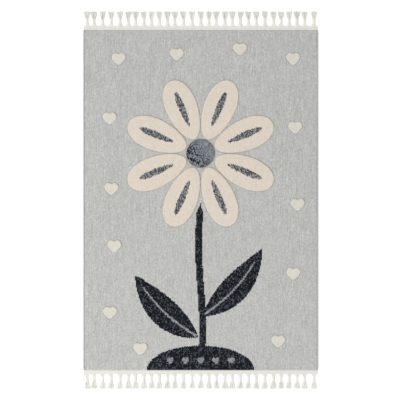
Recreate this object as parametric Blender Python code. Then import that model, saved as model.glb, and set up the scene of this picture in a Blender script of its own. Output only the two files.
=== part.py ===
"""Kids rug: a flat woven pile cloth, 1.2 m wide, with raised cream motifs and a tasselled tape at each end.

The rug lies on z = 0 with its length along Y, its head end at +Y and its middle on the Z axis.
Its pieces are the pile cloth, a serged edge along each side, and at each end a woven tape whose
tassels are yarn stalks that open into five cut locks. Everything is in metres.
"""
import math
import random

import bmesh
import bpy
from mathutils import Matrix

RUG_WIDTH = 1.200
PILE_LENGTH = 1.735
GROUND_HEIGHT = 0.009
MOTIF_RISE = 0.004
CLEARANCE = 0.0003
WELD_DISTANCE = 0.00001

SERGING_WIDTH = 0.007
SERGING_HEIGHT = 0.0105
SERGING_SIDES = 8

# The motifs stand on the cloth as islands, each with a sheared slope round its top.
RIM_SLOPE = 0.0015
MOTIF_ROOT_DEPTH = 0.003

BLOOM_CENTRE = (0.0, 0.240)
PETAL_COUNT = 8
PETAL_REACH = 0.400
PETAL_LENGTH_SHARE = 0.8
PETAL_HALF_WIDTH = 0.079
PETAL_TIP_FULLNESS = 0.18
PETAL_POINTS = 32
DISC_RADIUS = 0.072
DISC_POINTS = 28

HEART_WIDTH = 0.072
HEART_HEIGHT = 0.062
HEART_BLUNTNESS = 0.75
HEART_OVERTONES = (13.0, -2.4, -0.3, -0.9, -0.4, -0.3)
HEART_POINTS = 24
HEART_CENTRES = (
    (0.201, 0.772), (-0.122, 0.746), (-0.419, 0.723), (0.473, 0.723),
    (-0.465, 0.419), (0.484, 0.372), (-0.456, 0.059), (0.496, -0.022),
    (-0.441, -0.235), (0.474, -0.375), (-0.463, -0.574), (0.397, -0.721),
    (-0.308, -0.759),
)

TAPE_WIDTH = 0.022
TAPE_HEIGHT = 0.005
TASSEL_ROOT_DEPTH = 0.003
TASSEL_LEAN = 0.0020
TASSEL_LENGTH = 0.075
TASSEL_SEED = 29

# Where each tassel stands along the tape.
TASSEL_PLACES = (
    -0.582, -0.546, -0.502, -0.459, -0.413, -0.371, -0.334, -0.291, -0.253, -0.212,
    -0.171, -0.133, -0.089, -0.045, 0.000, 0.041, 0.079, 0.123, 0.161, 0.202,
    0.244, 0.284, 0.328, 0.372, 0.411, 0.452, 0.492, 0.531, 0.579,
)

# Half width, height and roundness of a tassel's stalk, at its distance out from the tape.
STALK_SECTIONS = (
    {"out": -TASSEL_ROOT_DEPTH, "half_width": 0.0174, "height": 0.0044, "round": 0.10},
    {"out": 0.0010, "half_width": 0.0170, "height": 0.0046, "round": 0.15},
    {"out": 0.0065, "half_width": 0.0092, "height": 0.0078, "round": 0.30},
    {"out": 0.0130, "half_width": 0.0068, "height": 0.0088, "round": 0.36},
    {"out": 0.0380, "half_width": 0.0063, "height": 0.0105, "round": 0.40},
)

# The locks widen fast below the neck and then run on nearly straight to their cut ends.
LOCKS_PER_TASSEL = 5
LOCK_SHOULDER = {"out": 0.0540, "pitch": 0.0052, "width": 0.0043, "height": 0.0080, "lean": 0.4}
LOCK_TIP = {"out": TASSEL_LENGTH, "pitch": 0.0068, "width": 0.0046, "height": 0.0055, "lean": 1.0}
LOCK_TIP_HEIGHT_PLAY = 0.0008
LOCK_SPREAD_PLAY = 0.08
LOCK_CUT_PLAY = 0.005


def clear_scene():
    """Remove every object of the start-up scene."""
    for leftover in list(bpy.data.objects):
        bpy.data.objects.remove(leftover, do_unlink=True)


def add_collection(name):
    """A new collection under the scene's own."""
    collection = bpy.data.collections.new(name)
    bpy.context.scene.collection.children.link(collection)
    return collection


def yarn_material(name, colour, roughness):
    """A plain, non-metallic yarn material."""
    material = bpy.data.materials.new(name)
    material.use_nodes = True
    shader = material.node_tree.nodes["Principled BSDF"]
    shader.inputs["Base Color"].default_value = (*colour, 1.0)
    shader.inputs["Roughness"].default_value = roughness
    shader.inputs["Metallic"].default_value = 0.0
    return material


def keep_in(collection, piece, material=None):
    """Move a piece into its collection and give it its one material."""
    for holder in list(piece.users_collection):
        holder.objects.unlink(piece)
    collection.objects.link(piece)
    if material is not None:
        piece.data.materials.clear()
        piece.data.materials.append(material)
    return piece


def box(name, size, centre):
    """A box of the given size, with its scale applied."""
    bpy.ops.mesh.primitive_cube_add(size=1.0, location=centre)
    piece = bpy.context.object
    piece.name = name
    piece.data.transform(Matrix.Diagonal((*size, 1.0)))
    return piece


def fuse(piece, addition, collection):
    """Join a hidden shape to a piece with a Boolean union."""
    keep_in(collection, addition)
    addition.hide_render = True
    addition.display_type = "WIRE"
    union = piece.modifiers.new("fused " + addition.name, "BOOLEAN")
    union.operation = "UNION"
    union.solver = "EXACT"
    union.object = addition


def evenly_round(count):
    """Angles spaced evenly round a closed outline."""
    return [2.0 * math.pi * step / count for step in range(count)]


def heart_outline(centre):
    """A broad heart with a shallow notch, its point towards the foot end.

    Across is a mean of the sine and its cube, which blunts the point, and along is a cosine with
    overtones that cut the notch; both are then stretched to the heart's width and height.
    """
    angles = evenly_round(HEART_POINTS)
    across = [
        HEART_BLUNTNESS * math.sin(angle) + (1.0 - HEART_BLUNTNESS) * math.sin(angle) ** 3
        for angle in angles
    ]
    along = [
        sum(part * math.cos(turn * angle) for turn, part in enumerate(HEART_OVERTONES, start=1))
        for angle in angles
    ]
    lowest = min(along)
    highest = max(along)
    scale = HEART_HEIGHT / (highest - lowest)
    middle = 0.5 * (highest + lowest)
    return [
        (centre[0] + 0.5 * HEART_WIDTH * x, centre[1] + scale * (y - middle))
        for x, y in zip(across, along)
    ]


def petal_outline(direction):
    """An egg shape that points away from the bloom's centre, broader towards its tip."""
    outline = []
    half_length = 0.5 * PETAL_LENGTH_SHARE * PETAL_REACH
    for angle in evenly_round(PETAL_POINTS):
        along = PETAL_REACH - half_length * (1.0 - math.cos(angle))
        across = PETAL_HALF_WIDTH * math.sin(angle) * (1.0 + PETAL_TIP_FULLNESS * math.cos(angle))
        x = BLOOM_CENTRE[0] + along * math.cos(direction) - across * math.sin(direction)
        y = BLOOM_CENTRE[1] + along * math.sin(direction) + across * math.cos(direction)
        outline.append((x, y))
    return outline


def disc_outline():
    """The round middle of the bloom."""
    x, y = BLOOM_CENTRE
    return [
        (x + DISC_RADIUS * math.cos(angle), y + DISC_RADIUS * math.sin(angle))
        for angle in evenly_round(DISC_POINTS)
    ]


def motif_outlines():
    """Every raised island: the petals, the disc between them and the scattered hearts."""
    first_petal = math.pi / PETAL_COUNT
    petals = [petal_outline(first_petal + turn) for turn in evenly_round(PETAL_COUNT)]
    hearts = [heart_outline(centre) for centre in HEART_CENTRES]
    return petals + [disc_outline()] + hearts


def raised_motifs():
    """One flat filled curve with a spline for each island, made a mesh with its caps welded on."""
    curve = bpy.data.curves.new("raised_motifs", "CURVE")
    curve.dimensions = "2D"
    curve.fill_mode = "BOTH"
    for outline in motif_outlines():
        spline = curve.splines.new("POLY")
        spline.points.add(len(outline) - 1)
        for point, (x, y) in zip(spline.points, outline):
            point.co = (x, y, 0.0, 1.0)
        spline.use_cyclic_u = True
    half_height = 0.5 * (MOTIF_ROOT_DEPTH + MOTIF_RISE)
    curve.extrude = half_height - RIM_SLOPE
    curve.bevel_depth = RIM_SLOPE
    curve.bevel_resolution = 0
    curve.offset = -RIM_SLOPE
    guide = bpy.data.objects.new("raised_motifs_outline", curve)
    guide.location.z = GROUND_HEIGHT + MOTIF_RISE - half_height
    bpy.context.scene.collection.objects.link(guide)
    bpy.context.view_layer.update()
    return welded_mesh_of(guide, "raised_motifs")


def welded_mesh_of(guide, name):
    """The evaluated curve as a mesh object in the same place; the curve is removed."""
    evaluated = guide.evaluated_get(bpy.context.evaluated_depsgraph_get())
    mesh = bpy.data.meshes.new_from_object(evaluated)
    welded = bmesh.new()
    welded.from_mesh(mesh)
    bmesh.ops.remove_doubles(welded, verts=welded.verts, dist=WELD_DISTANCE)
    bmesh.ops.recalc_face_normals(welded, faces=welded.faces)
    welded.to_mesh(mesh)
    welded.free()
    piece = bpy.data.objects.new(name, mesh)
    piece.matrix_world = guide.matrix_world
    bpy.context.scene.collection.objects.link(piece)
    bpy.data.objects.remove(guide, do_unlink=True)
    return piece


def make_pile_cloth(collection, additions):
    """The woven cloth between the serged edges, with its raised motifs fused on."""
    width = RUG_WIDTH - 2.0 * (SERGING_WIDTH + CLEARANCE)
    cloth = box("pile_cloth", (width, PILE_LENGTH, GROUND_HEIGHT), (0.0, 0.0, 0.5 * GROUND_HEIGHT))
    fuse(cloth, raised_motifs(), additions)
    keep_in(collection, cloth, yarn_material("grey pile", (0.50, 0.50, 0.48), 0.95))


def make_serged_edge(collection, name, side):
    """A side's overcast edge: a rod of eight flat sides, taller than wide, lying on one of them."""
    bpy.ops.mesh.primitive_cylinder_add(
        vertices=SERGING_SIDES, radius=0.5 / math.cos(math.pi / SERGING_SIDES), depth=PILE_LENGTH)
    edge = bpy.context.object
    edge.name = name
    onto_a_side = Matrix.Rotation(math.pi / SERGING_SIDES, 4, "Z")
    along_y = Matrix.Rotation(math.pi / 2.0, 4, "X")
    squeeze = Matrix.Diagonal((SERGING_WIDTH, 1.0, SERGING_HEIGHT, 1.0))
    edge.data.transform(squeeze @ along_y @ onto_a_side)
    edge.location = (side * 0.5 * (RUG_WIDTH - SERGING_WIDTH), 0.0, 0.5 * SERGING_HEIGHT)
    keep_in(collection, edge, yarn_material(name + " yarn", (0.40, 0.40, 0.39), 0.90))


def stalk_ring(bm, centre, section):
    """The points of one stalk section: a flat foot on the floor and an arched top of five facets."""
    out = section["out"]
    half_width = section["half_width"]
    foot = [bm.verts.new((centre - half_width, out, 0.0)), bm.verts.new((centre + half_width, out, 0.0))]
    arch = []
    for step in range(LOCKS_PER_TASSEL + 1):
        across = 2.0 * step / LOCKS_PER_TASSEL - 1.0
        height = section["height"] * (1.0 - section["round"] * across * across)
        arch.append(bm.verts.new((centre + half_width * across, out, height)))
    return {"foot": foot, "arch": arch}


def add_stalk(bm, rings):
    """Skin the stalk's rings: its root cap, sides and arched top; its foot waits for the neck's points."""
    root = rings[0]
    bm.faces.new([root["foot"][0]] + root["arch"] + [root["foot"][1]])
    for near, far in zip(rings, rings[1:]):
        bm.faces.new([near["foot"][0], far["foot"][0], far["arch"][0], near["arch"][0]])
        bm.faces.new([near["arch"][-1], far["arch"][-1], far["foot"][1], near["foot"][1]])
        for column in range(LOCKS_PER_TASSEL):
            bm.faces.new([near["arch"][column], far["arch"][column],
                          far["arch"][column + 1], near["arch"][column + 1]])


def add_locks(bm, neck, centre, chance):
    """Open the neck into cut locks that fan out and lie level on the floor; return the neck's foot points."""
    out = STALK_SECTIONS[-1]["out"]
    inner = [bm.verts.new((point.co.x, out, 0.0)) for point in neck["arch"][1:-1]]
    foot = [neck["foot"][0]] + inner + [neck["foot"][1]]
    lean = chance.uniform(-TASSEL_LEAN, TASSEL_LEAN)
    spread = 1.0 + chance.uniform(-LOCK_SPREAD_PLAY, LOCK_SPREAD_PLAY)
    middle = (LOCKS_PER_TASSEL - 1) / 2.0
    for lock in range(LOCKS_PER_TASSEL):
        cut = 0.0 if lock == middle else chance.uniform(0.0, LOCK_CUT_PLAY)
        rise = chance.uniform(-LOCK_TIP_HEIGHT_PLAY, LOCK_TIP_HEIGHT_PLAY)
        near = [foot[lock], neck["arch"][lock], neck["arch"][lock + 1], foot[lock + 1]]
        for section, shorter, higher in ((LOCK_SHOULDER, 0.0, 0.0), (LOCK_TIP, cut, rise)):
            x = centre + section["lean"] * lean + spread * section["pitch"] * (lock - middle)
            far = lock_ring(bm, x, section["out"] - shorter, section["width"], section["height"] + higher)
            for corner in range(4):
                following = (corner + 1) % 4
                bm.faces.new([near[corner], far[corner], far[following], near[following]])
            near = far
        bm.faces.new(list(reversed(near)))
    return foot


def lock_ring(bm, x, out, width, height):
    """The four corners of a lock's section, its foot on the floor."""
    left = x - 0.5 * width
    right = x + 0.5 * width
    return [bm.verts.new((across, out, up))
            for across, up in ((left, 0.0), (left, height), (right, height), (right, 0.0))]


def add_tassel(bm, centre, chance):
    """One tassel: a stalk that narrows to its neck, then five locks."""
    rings = [stalk_ring(bm, centre, section) for section in STALK_SECTIONS]
    add_stalk(bm, rings)
    neck_foot = add_locks(bm, rings[-1], centre, chance)
    left_side = [ring["foot"][0] for ring in rings[:-1]]
    right_side = [ring["foot"][1] for ring in reversed(rings[:-1])]
    bm.faces.new(left_side + neck_foot + right_side)


def tassel_row(side):
    """All of one end's tassels in one mesh, each its own closed body until the tape joins them."""
    chance = random.Random(TASSEL_SEED)
    bm = bmesh.new()
    for place in TASSEL_PLACES:
        add_tassel(bm, place, chance)
    bmesh.ops.scale(bm, vec=(1.0, side, 1.0), verts=bm.verts)
    bmesh.ops.recalc_face_normals(bm, faces=bm.faces)
    mesh = bpy.data.meshes.new("tassel_row")
    bm.to_mesh(mesh)
    bm.free()
    return mesh


def make_fringe(collection, additions, name, side):
    """A woven tape lying against the pile's end, with its row of tassels fused on."""
    tape_middle = 0.5 * PILE_LENGTH + CLEARANCE + 0.5 * TAPE_WIDTH
    tape = box(name, (RUG_WIDTH, TAPE_WIDTH, TAPE_HEIGHT), (0.0, side * tape_middle, 0.5 * TAPE_HEIGHT))
    tassels = bpy.data.objects.new(name + "_tassels", tassel_row(side))
    tassels.location.y = side * (tape_middle + 0.5 * TAPE_WIDTH)
    bpy.context.scene.collection.objects.link(tassels)
    fuse(tape, tassels, additions)
    keep_in(collection, tape, yarn_material(name + " cotton", (0.76, 0.75, 0.70), 0.90))


def make_rug():
    """Every piece of the rug."""
    clear_scene()
    rug = add_collection("kids_rug")
    additions = add_collection("fused_shapes")
    make_pile_cloth(rug, additions)
    make_serged_edge(rug, "serged_edge_left", -1.0)
    make_serged_edge(rug, "serged_edge_right", 1.0)
    make_fringe(rug, additions, "fringe_head_end", 1.0)
    make_fringe(rug, additions, "fringe_foot_end", -1.0)


make_rug()
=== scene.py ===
"""The looks of a kids rug: tufted pile, raised cream motifs, serged sides and tasselled tapes.

The rug lies on z = 0 with its length along Y and its head end at +Y, in metres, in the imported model's
frame. Its pile is one lattice of tufts: wales run along Y, and each tuft is a small rise with a groove
beside it. The ground is that lattice at one height, and every raised motif is a part of it, cut out
along a smooth outline and lifted.
"""
import math
import random

import bpy
import numpy as np
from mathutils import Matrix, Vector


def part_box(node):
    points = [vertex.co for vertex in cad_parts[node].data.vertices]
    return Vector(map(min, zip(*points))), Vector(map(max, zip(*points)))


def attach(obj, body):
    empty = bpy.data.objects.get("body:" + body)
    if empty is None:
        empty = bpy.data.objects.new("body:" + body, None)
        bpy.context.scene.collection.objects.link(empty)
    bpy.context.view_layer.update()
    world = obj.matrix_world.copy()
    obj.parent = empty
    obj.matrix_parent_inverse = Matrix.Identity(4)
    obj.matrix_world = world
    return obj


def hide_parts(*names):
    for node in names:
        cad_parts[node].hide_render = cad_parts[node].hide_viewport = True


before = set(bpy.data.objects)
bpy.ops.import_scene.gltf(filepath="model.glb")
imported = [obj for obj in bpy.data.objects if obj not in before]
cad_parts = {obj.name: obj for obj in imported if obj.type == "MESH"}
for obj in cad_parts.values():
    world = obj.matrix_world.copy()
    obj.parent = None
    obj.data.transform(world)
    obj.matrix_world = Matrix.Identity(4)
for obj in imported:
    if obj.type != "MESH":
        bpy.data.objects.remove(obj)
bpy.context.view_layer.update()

PILE_LOW, PILE_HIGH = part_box("pile_cloth")
BODY = "root"

GROUND_TOP = 0.009
MOTIF_TOP = PILE_HIGH.z
BACKING_TOP = 0.0022
PILE_SINK = 0.0002
PILE_ROOT = BACKING_TOP - PILE_SINK
TINY = 1e-12
FULL_TURN = 2.0 * math.pi

# The tuft lattice. Grooves run between wales, and shallower dips between the tufts of one wale.
WALE_PITCH = 0.00515
ROW_PITCH = 0.0058
WALE_PLAY = 0.16
ROW_PLAY = 0.10
HALF_DROP = 0.25
DROP_PLAY = 0.15
SLIP_EASED_LINES = 6.0
CROSSING_DIP_SHARE = 0.3
TUFT_PLACE_PLAY = 0.00025
LATTICE_SEED = 7
COLOUR_SEED = 8
TAPE_SEED = 10
SEED_PLACE_STEP = 1e-4
GROUND_STRIPS = 4

GROUND_RELIEF = {"wale_dip": 0.0018, "row_dip": 0.0010, "height_play": 0.00025}
MOTIF_RELIEF = {"wale_dip": 0.0009, "row_dip": 0.0007, "height_play": 0.00012}
CLOTH_SIDE_DROP = 0.0010
CLOTH_END_DROP = 0.0003
CLOTH_EDGE_ROUND = 0.006
CLOTH_EDGE_REACH = 0.0012
CLOTH_EDGE_DIP_SHARE = 0.35
CLOTH_END_DIP_SHARE = 0.15
# Painted shade on the cloth's outer walls.
CLOTH_WALL_PAINTED_SHADE = 0.6
ON_RIM = 1e-6
CARVED_DEPTH = 0.0017
CARVED_WIDTH = 0.0030
CARVED_REACH = 4.0 * CARVED_WIDTH
# Painted shade where the carved line is deepest.
CARVED_PAINTED_SHADE = 0.15
MOTIF_EDGE_DROP = 0.0018
MOTIF_EDGE_ROUND = 0.0055
RIM_EVENING_ROUNDS = 4
RIM_EASED_WIDTH = 0.0045
MOTIF_EDGE_WAVE = 0.00060
MOTIF_EDGE_WAVES_A_METRE = 130.0
MOTIF_EDGE_WAVE_MIX = ((1.0, 0.7), (-0.8, 1.0))
MOTIF_FLARE = 0.0012
GROUND_UNDER_MOTIF = 0.0028

# The bloom, in the cloth's middle.
BLOOM_CENTRE = (0.0, 0.240)
PETAL_COUNT = 8
PETAL_REACH = 0.400
PETAL_LENGTH_SHARE = 0.8
PETAL_HALF_WIDTH = 0.079
PETAL_TIP_FULLNESS = 0.18
VEIN_MIDDLE_SHARE = 0.61
VEIN_HALF_LENGTH_SHARE = 0.235
VEIN_HALF_WIDTH = 0.0165
DISC_RADIUS = 0.072

STEM_TOP = -0.012
STEM_HALF_WIDTH = 0.017
STEM_SWAY = 0.010
STEM_TIP_LENGTH = 0.06
STEM_TIP_HALF_WIDTH = 0.001
STEM_RUN_OUT = 0.01
LEAVES = (
    {"base": (-0.012, -0.700), "tip": (-0.335, -0.385), "half_width": 0.074, "bend": 0.030},
    {"base": (0.012, -0.590), "tip": (0.315, -0.250), "half_width": 0.070, "bend": -0.030},
)
LEAF_WIDEST_POWER = 0.9
LEAF_FULLNESS_POWER = 0.85
MIDRIB_HALF_WIDTH = 0.0050
MIDRIB_SHARE = (0.02, 0.84)
MIDRIB_TAPER = (1.15, 0.5)
MOUND_HALF_WIDTH = 0.275
MOUND_HEIGHT = 0.125
MOUND_HEARTS = 5
MOUND_HEART_PITCH = 0.078
MOUND_HEART_SIZE = (0.036, 0.031)
MOUND_HEART_LINE = 0.048

HEART_SIZE = (0.072, 0.062)
HEART_BLUNTNESS = 0.75
HEART_OVERTONES = (13.0, -2.4, -0.3, -0.9, -0.4, -0.3)
HEART_CENTRES = (
    (0.201, 0.772), (-0.122, 0.746), (-0.419, 0.723), (0.473, 0.723),
    (-0.465, 0.419), (0.484, 0.372), (-0.456, 0.059), (0.496, -0.022),
    (-0.441, -0.235), (0.474, -0.375), (-0.463, -0.574), (0.397, -0.721),
    (-0.308, -0.759),
)
OUTLINE_POINTS = 140
MAP_MARGIN = 0.01
MAP_ROW_MARGIN = 0.02
MAP_ROD_TIP = 0.002
MAP_YARN_TIP = 0.01
MAP_CELL_FILL = 0.94

# Shades are as the eye sees them, 0 to 255.
LIGHT_ON_RUG = 1.29
# Each yarn: its shades, their shares, and how far streaks and specks change its tone.
YARNS = {
    "grey": (((194, 194, 191), (203, 203, 200), (213, 213, 210)), (0.26, 0.48, 0.26), 0.038, 0.018),
    "cream": (((223, 211, 195), (227, 217, 203)), (0.5, 0.5), 0.010, 0.010),
    "pale_cream": (((220, 214, 202), (224, 219, 208)), (0.5, 0.5), 0.010, 0.010),
    "charcoal": (((3, 7, 13), (22, 28, 35), (75, 81, 90)), (0.46, 0.30, 0.24), 0.0, 0.10),
    "slate": (((60, 64, 69), (100, 104, 108), (147, 150, 152)), (0.34, 0.32, 0.34), 0.0, 0.06),
    "blue_grey": (((101, 108, 115), (122, 129, 135), (143, 148, 152)), (0.32, 0.40, 0.28), 0.0, 0.05),
    "pale_blue": (((130, 133, 139), (150, 152, 156), (166, 168, 171)), (0.34, 0.40, 0.26), 0.0, 0.04),
}
TONE_LIMITS = (0.5, 1.5)
STREAK_ROWS = 7
SPECKLE_SHARE = 0.465
SPECKLE_SPREAD = 1.2
SPECKLE_DIRECTION = (-0.8, -0.6)

SERGING_STITCH = 0.0050
SERGING_STEPS_A_STITCH = 4
SERGING_AROUND = 14
SERGING_BULGE = 0.0008
SERGING_SLANT = 0.30
# Painted shade in the grooves between stitches.
SERGING_PAINTED_SHADE = 0.86
SERGING_UV_ROWS = 16
SERGING_SHADE = (177, 177, 175)
SERGING_SQUARENESS = 0.50
SERGING_ROUNDNESS = 0.7
SERGING_END_LENGTH = 0.004
SERGING_END_SIZE = 0.78
SERGING_SIZE_PLAY = 0.02
SERGING_TONE_PLAY = 0.05

TAPE_WIDTH = 0.022
TAPE_HEIGHT = 0.005
TAPE_RIB = 0.0040
TAPE_RIB_RISE = 0.0005
TAPE_CORDS = 5
TAPE_CORD_RISE = 0.0006
TAPE_INNER_FULLNESS = 0.88
TAPE_EDGE_POWER = 8
TAPE_PLY_TURNS = 4.0
TAPE_UV_ROWS = 12
TAPE_RIM_HEIGHT = 0.0012
TAPE_UNDER_INSET = 0.015
TAPE_END_HEIGHT = 0.0005
TAPE_CORNER_LENGTH = 0.006
TAPE_CORNER_SHARE = 0.02
TAPE_SWAY = 0.0003
TAPE_SWAYS = 40
TAPE_TONE_PLAY = 0.02
TAPE_SHADE = (227, 226, 220)
TASSEL_SHADE = (238, 237, 228)

TASSEL_PLACES = (
    -0.582, -0.546, -0.502, -0.459, -0.413, -0.371, -0.334, -0.291, -0.253, -0.212,
    -0.171, -0.133, -0.089, -0.045, 0.000, 0.041, 0.079, 0.123, 0.161, 0.202,
    0.244, 0.284, 0.328, 0.372, 0.411, 0.452, 0.492, 0.531, 0.579,
)
TASSEL_LEAN = 0.0020
TASSEL_LENGTH = 0.075
TASSEL_SEED = 29
LOCKS_PER_TASSEL = 5
LOCK_SPREAD_PLAY = 0.08
YARNS_PER_TASSEL = 13
YARN_STATIONS = 20
YARN_SIDES = 6
YARN_RADIUS = 0.00165
YARN_TIP_RADIUS = 0.00125
YARN_ROOT_DEPTH = 0.0025
YARN_CUT_PLAY = 0.0025
YARN_STRAY = 0.0009
NECK_OUT = 0.038
BUNDLE_NECK = 0.0047
BUNDLE_STALK = 0.0004
BUNDLE_ROOT = 0.0112
BUNDLE_ROOT_REACH = 0.0045
BUNDLE_TIP = 0.0157
BUNDLE_SHOULDER_POWER = 0.60
BUNDLE_HEIGHT = 0.0030
BUNDLE_TURN = 1.5 * math.pi
BUNDLE_TURN_PLAY = 0.2
BUNDLE_OTHER_WAY_EVERY = 3
BUNDLE_CORE_SHARE = 0.55
BUNDLE_CORE_EVERY = 3
FAN_HASTE = 1.3
FAN_FLATTENING = 0.75
ROOT_LIFT = 0.0009
TIP_LIFT_PLAY = 0.0006
TIP_DOME_SHARE = 0.4
TASSEL_TONE_PLAY = 0.035

# Looks of the yarns. Scales are in waves a metre.
FIBRE_SCALE = 1900.0
CLUMP_SCALE = 480.0
SPUN_FIBRE_SCALE = 1500.0
PLIES = 2.0
PLY_RISE = 0.35
BACKING_LINES = (("X", 0.0026), ("Y", 0.0029))
WAVE_SCALE = 0.314
UNEVEN_SCALE = 60.0
BACKING_SHADES = ((150, 140, 120), (196, 188, 168))
BACKING_RIB_RISE = 0.0003
BACKING_COLUMNS = 5
MAP_HALF = (0.47, 0.98)

SKY_STRENGTH = 1.06
KEY_PLACE = (-4.3, -3.4, 6.0)
KEY_SIZE = 2.6
KEY_POWER = 340.0

FLOOR_SIZE = 12.0
FLOOR_DROP = 0.0004
FLOOR_COLOUR = (0.92, 0.92, 0.92, 1.0)

CAMERA_LENS = 85.0
CAMERA_REACH = 50.0
PHOTO_SPAN = 2.044
PHOTO_SHIFT = (-0.0032, 0.0013)


def linear(shade):
    """A shade seen in the photo's light, 0 to 255, as the yarn's own colour, by the sRGB curve."""
    level = np.asarray(shade, float) / 255.0
    light = np.where(level <= 0.04045, level / 12.92, ((level + 0.055) / 1.055) ** 2.4)
    return light / LIGHT_ON_RUG


def smooth_step(value):
    """0 below 0, 1 above 1 and an S curve between, three squares less two cubes."""
    held = np.clip(value, 0.0, 1.0)
    return held * held * (3.0 - 2.0 * held)


# Outlines, each a closed run of points.


def round_angles():
    """Angles spaced evenly round an outline."""
    return np.linspace(0.0, FULL_TURN, OUTLINE_POINTS, endpoint=False)


def egg_outline(middle, half_length, half_width, direction=0.0, fullness=0.0, centre=BLOOM_CENTRE):
    """An egg out from a centre: along follows the cosine, and across the sine.

    Its width grows by the fullness towards its far end, and without it the egg is an ellipse.
    """
    angle = round_angles()
    along = middle + half_length * np.cos(angle)
    across = half_width * np.sin(angle) * (1.0 + fullness * np.cos(angle))
    x = centre[0] + along * math.cos(direction) - across * math.sin(direction)
    y = centre[1] + along * math.sin(direction) + across * math.cos(direction)
    return np.stack([x, y], axis=1)


def petal_outline(direction):
    """A petal, whose tip is at the bloom's reach."""
    half_length = 0.5 * PETAL_LENGTH_SHARE * PETAL_REACH
    return egg_outline(PETAL_REACH - half_length, half_length, PETAL_HALF_WIDTH, direction,
                       PETAL_TIP_FULLNESS)


def vein_outline(direction):
    """A long narrow oval inside a petal."""
    return egg_outline(PETAL_REACH * VEIN_MIDDLE_SHARE, PETAL_REACH * VEIN_HALF_LENGTH_SHARE,
                       VEIN_HALF_WIDTH, direction, PETAL_TIP_FULLNESS)


def heart_outline(centre, size):
    """A blunt heart: across is a mean of the sine and its cube, along a cosine with its overtones."""
    angle = round_angles()
    cubed = np.sin(angle) ** 3
    across = 0.5 * size[0] * (HEART_BLUNTNESS * np.sin(angle) + (1.0 - HEART_BLUNTNESS) * cubed)
    along = sum(part * np.cos(turn * angle) for turn, part in enumerate(HEART_OVERTONES, start=1))
    along = size[1] * ((along - along.min()) / np.ptp(along) - 0.5)
    return np.stack([centre[0] + across, centre[1] + along], axis=1)


def band_outline(x, y, half_width):
    """A band round a middle line: the line shifted to its left and back along its right."""
    run_x = np.gradient(x)
    run_y = np.gradient(y)
    length = np.hypot(run_x, run_y)
    side = np.stack([-run_y / length, run_x / length], axis=1) * np.reshape(half_width, (-1, 1))
    middle = np.stack([x, y], axis=1)
    return np.concatenate([middle + side, (middle - side)[::-1]])


def leaf_axis(leaf, share):
    """A leaf's middle line: straight from base to tip, bowed sideways by a half sine."""
    base = np.array(leaf["base"])
    run = np.array(leaf["tip"]) - base
    side = np.array([-run[1], run[0]]) / np.hypot(*run)
    line = base + share[:, None] * run + leaf["bend"] * np.sin(math.pi * share)[:, None] * side
    return line[:, 0], line[:, 1]


def leaf_outline(leaf):
    """A pointed leaf, widest a little below its middle: its half width is a flattened sine."""
    share = np.linspace(0.0, 1.0, OUTLINE_POINTS // 2)
    x, y = leaf_axis(leaf, share)
    half_width = leaf["half_width"] * np.sin(math.pi * share ** LEAF_WIDEST_POWER) ** LEAF_FULLNESS_POWER
    return band_outline(x, y, half_width)


def midrib_outline(leaf):
    """A thin band along most of a leaf's middle line, narrowing to its end."""
    share = np.linspace(*MIDRIB_SHARE, OUTLINE_POINTS // 4)
    x, y = leaf_axis(leaf, share)
    return band_outline(x, y, MIDRIB_HALF_WIDTH * (MIDRIB_TAPER[0] - MIDRIB_TAPER[1] * share))


def stem_outline():
    """A band from below the bloom to the foot end, swaying by one slow sine."""
    y = np.linspace(PILE_LOW.y - STEM_RUN_OUT, STEM_TOP, OUTLINE_POINTS // 2)
    sway = STEM_SWAY * np.sin(FULL_TURN * (y - STEM_TOP) / (STEM_TOP - PILE_LOW.y))
    tip = smooth_step((STEM_TOP - y) / STEM_TIP_LENGTH)
    return band_outline(sway, y, STEM_HALF_WIDTH * tip + STEM_TIP_HALF_WIDTH)


def mound_heart_outlines():
    """A row of small hearts on the mound."""
    middle = (MOUND_HEARTS - 1) / 2.0
    line = PILE_LOW.y + MOUND_HEART_LINE
    return [
        heart_outline((MOUND_HEART_PITCH * (number - middle), line), MOUND_HEART_SIZE)
        for number in range(MOUND_HEARTS)
    ]


def distance_inside(outline, x, y):
    """How far points lie inside an outline, negative outside it, and the outline's nearest points.

    The distance is the least of those to the outline's straight steps. A point is inside where a ray
    towards +X crosses the outline an odd number of times.
    """
    start = outline
    step = np.roll(outline, -1, axis=0) - start
    rise = np.where(step[:, 1] == 0.0, TINY, step[:, 1])
    off_x = x.ravel()[:, None] - start[:, 0]
    off_y = y.ravel()[:, None] - start[:, 1]
    length_squared = np.maximum((step ** 2).sum(axis=1), TINY ** 2)
    share = np.clip((off_x * step[:, 0] + off_y * step[:, 1]) / length_squared, 0.0, 1.0)
    gap = np.hypot(off_x - share * step[:, 0], off_y - share * step[:, 1])
    best = gap.argmin(axis=1)
    rows = np.arange(len(best))
    nearest = start[best] + share[rows, best][:, None] * step[best]
    crossed = ((off_y < 0.0) != (off_y < step[:, 1])) & (off_x < off_y * step[:, 0] / rise)
    inside = crossed.sum(axis=1) % 2 == 1
    distance = np.where(inside, 1.0, -1.0) * gap[rows, best]
    return distance.reshape(x.shape), nearest.reshape(x.shape + (2,))


def window(outline, x, y, margin):
    """The lattice's index ranges that hold an outline and a margin round it."""
    low = outline.min(axis=0) - margin
    high = outline.max(axis=0) + margin
    columns = np.nonzero((x[:, 0] > low[0]) & (x[:, 0] < high[0]))[0]
    rows = np.nonzero((y[0] > low[1]) & (y[0] < high[1]))[0]
    return slice(columns[0], columns[-1] + 1), slice(rows[0], rows[-1] + 1)


# The tuft lattice.


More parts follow.
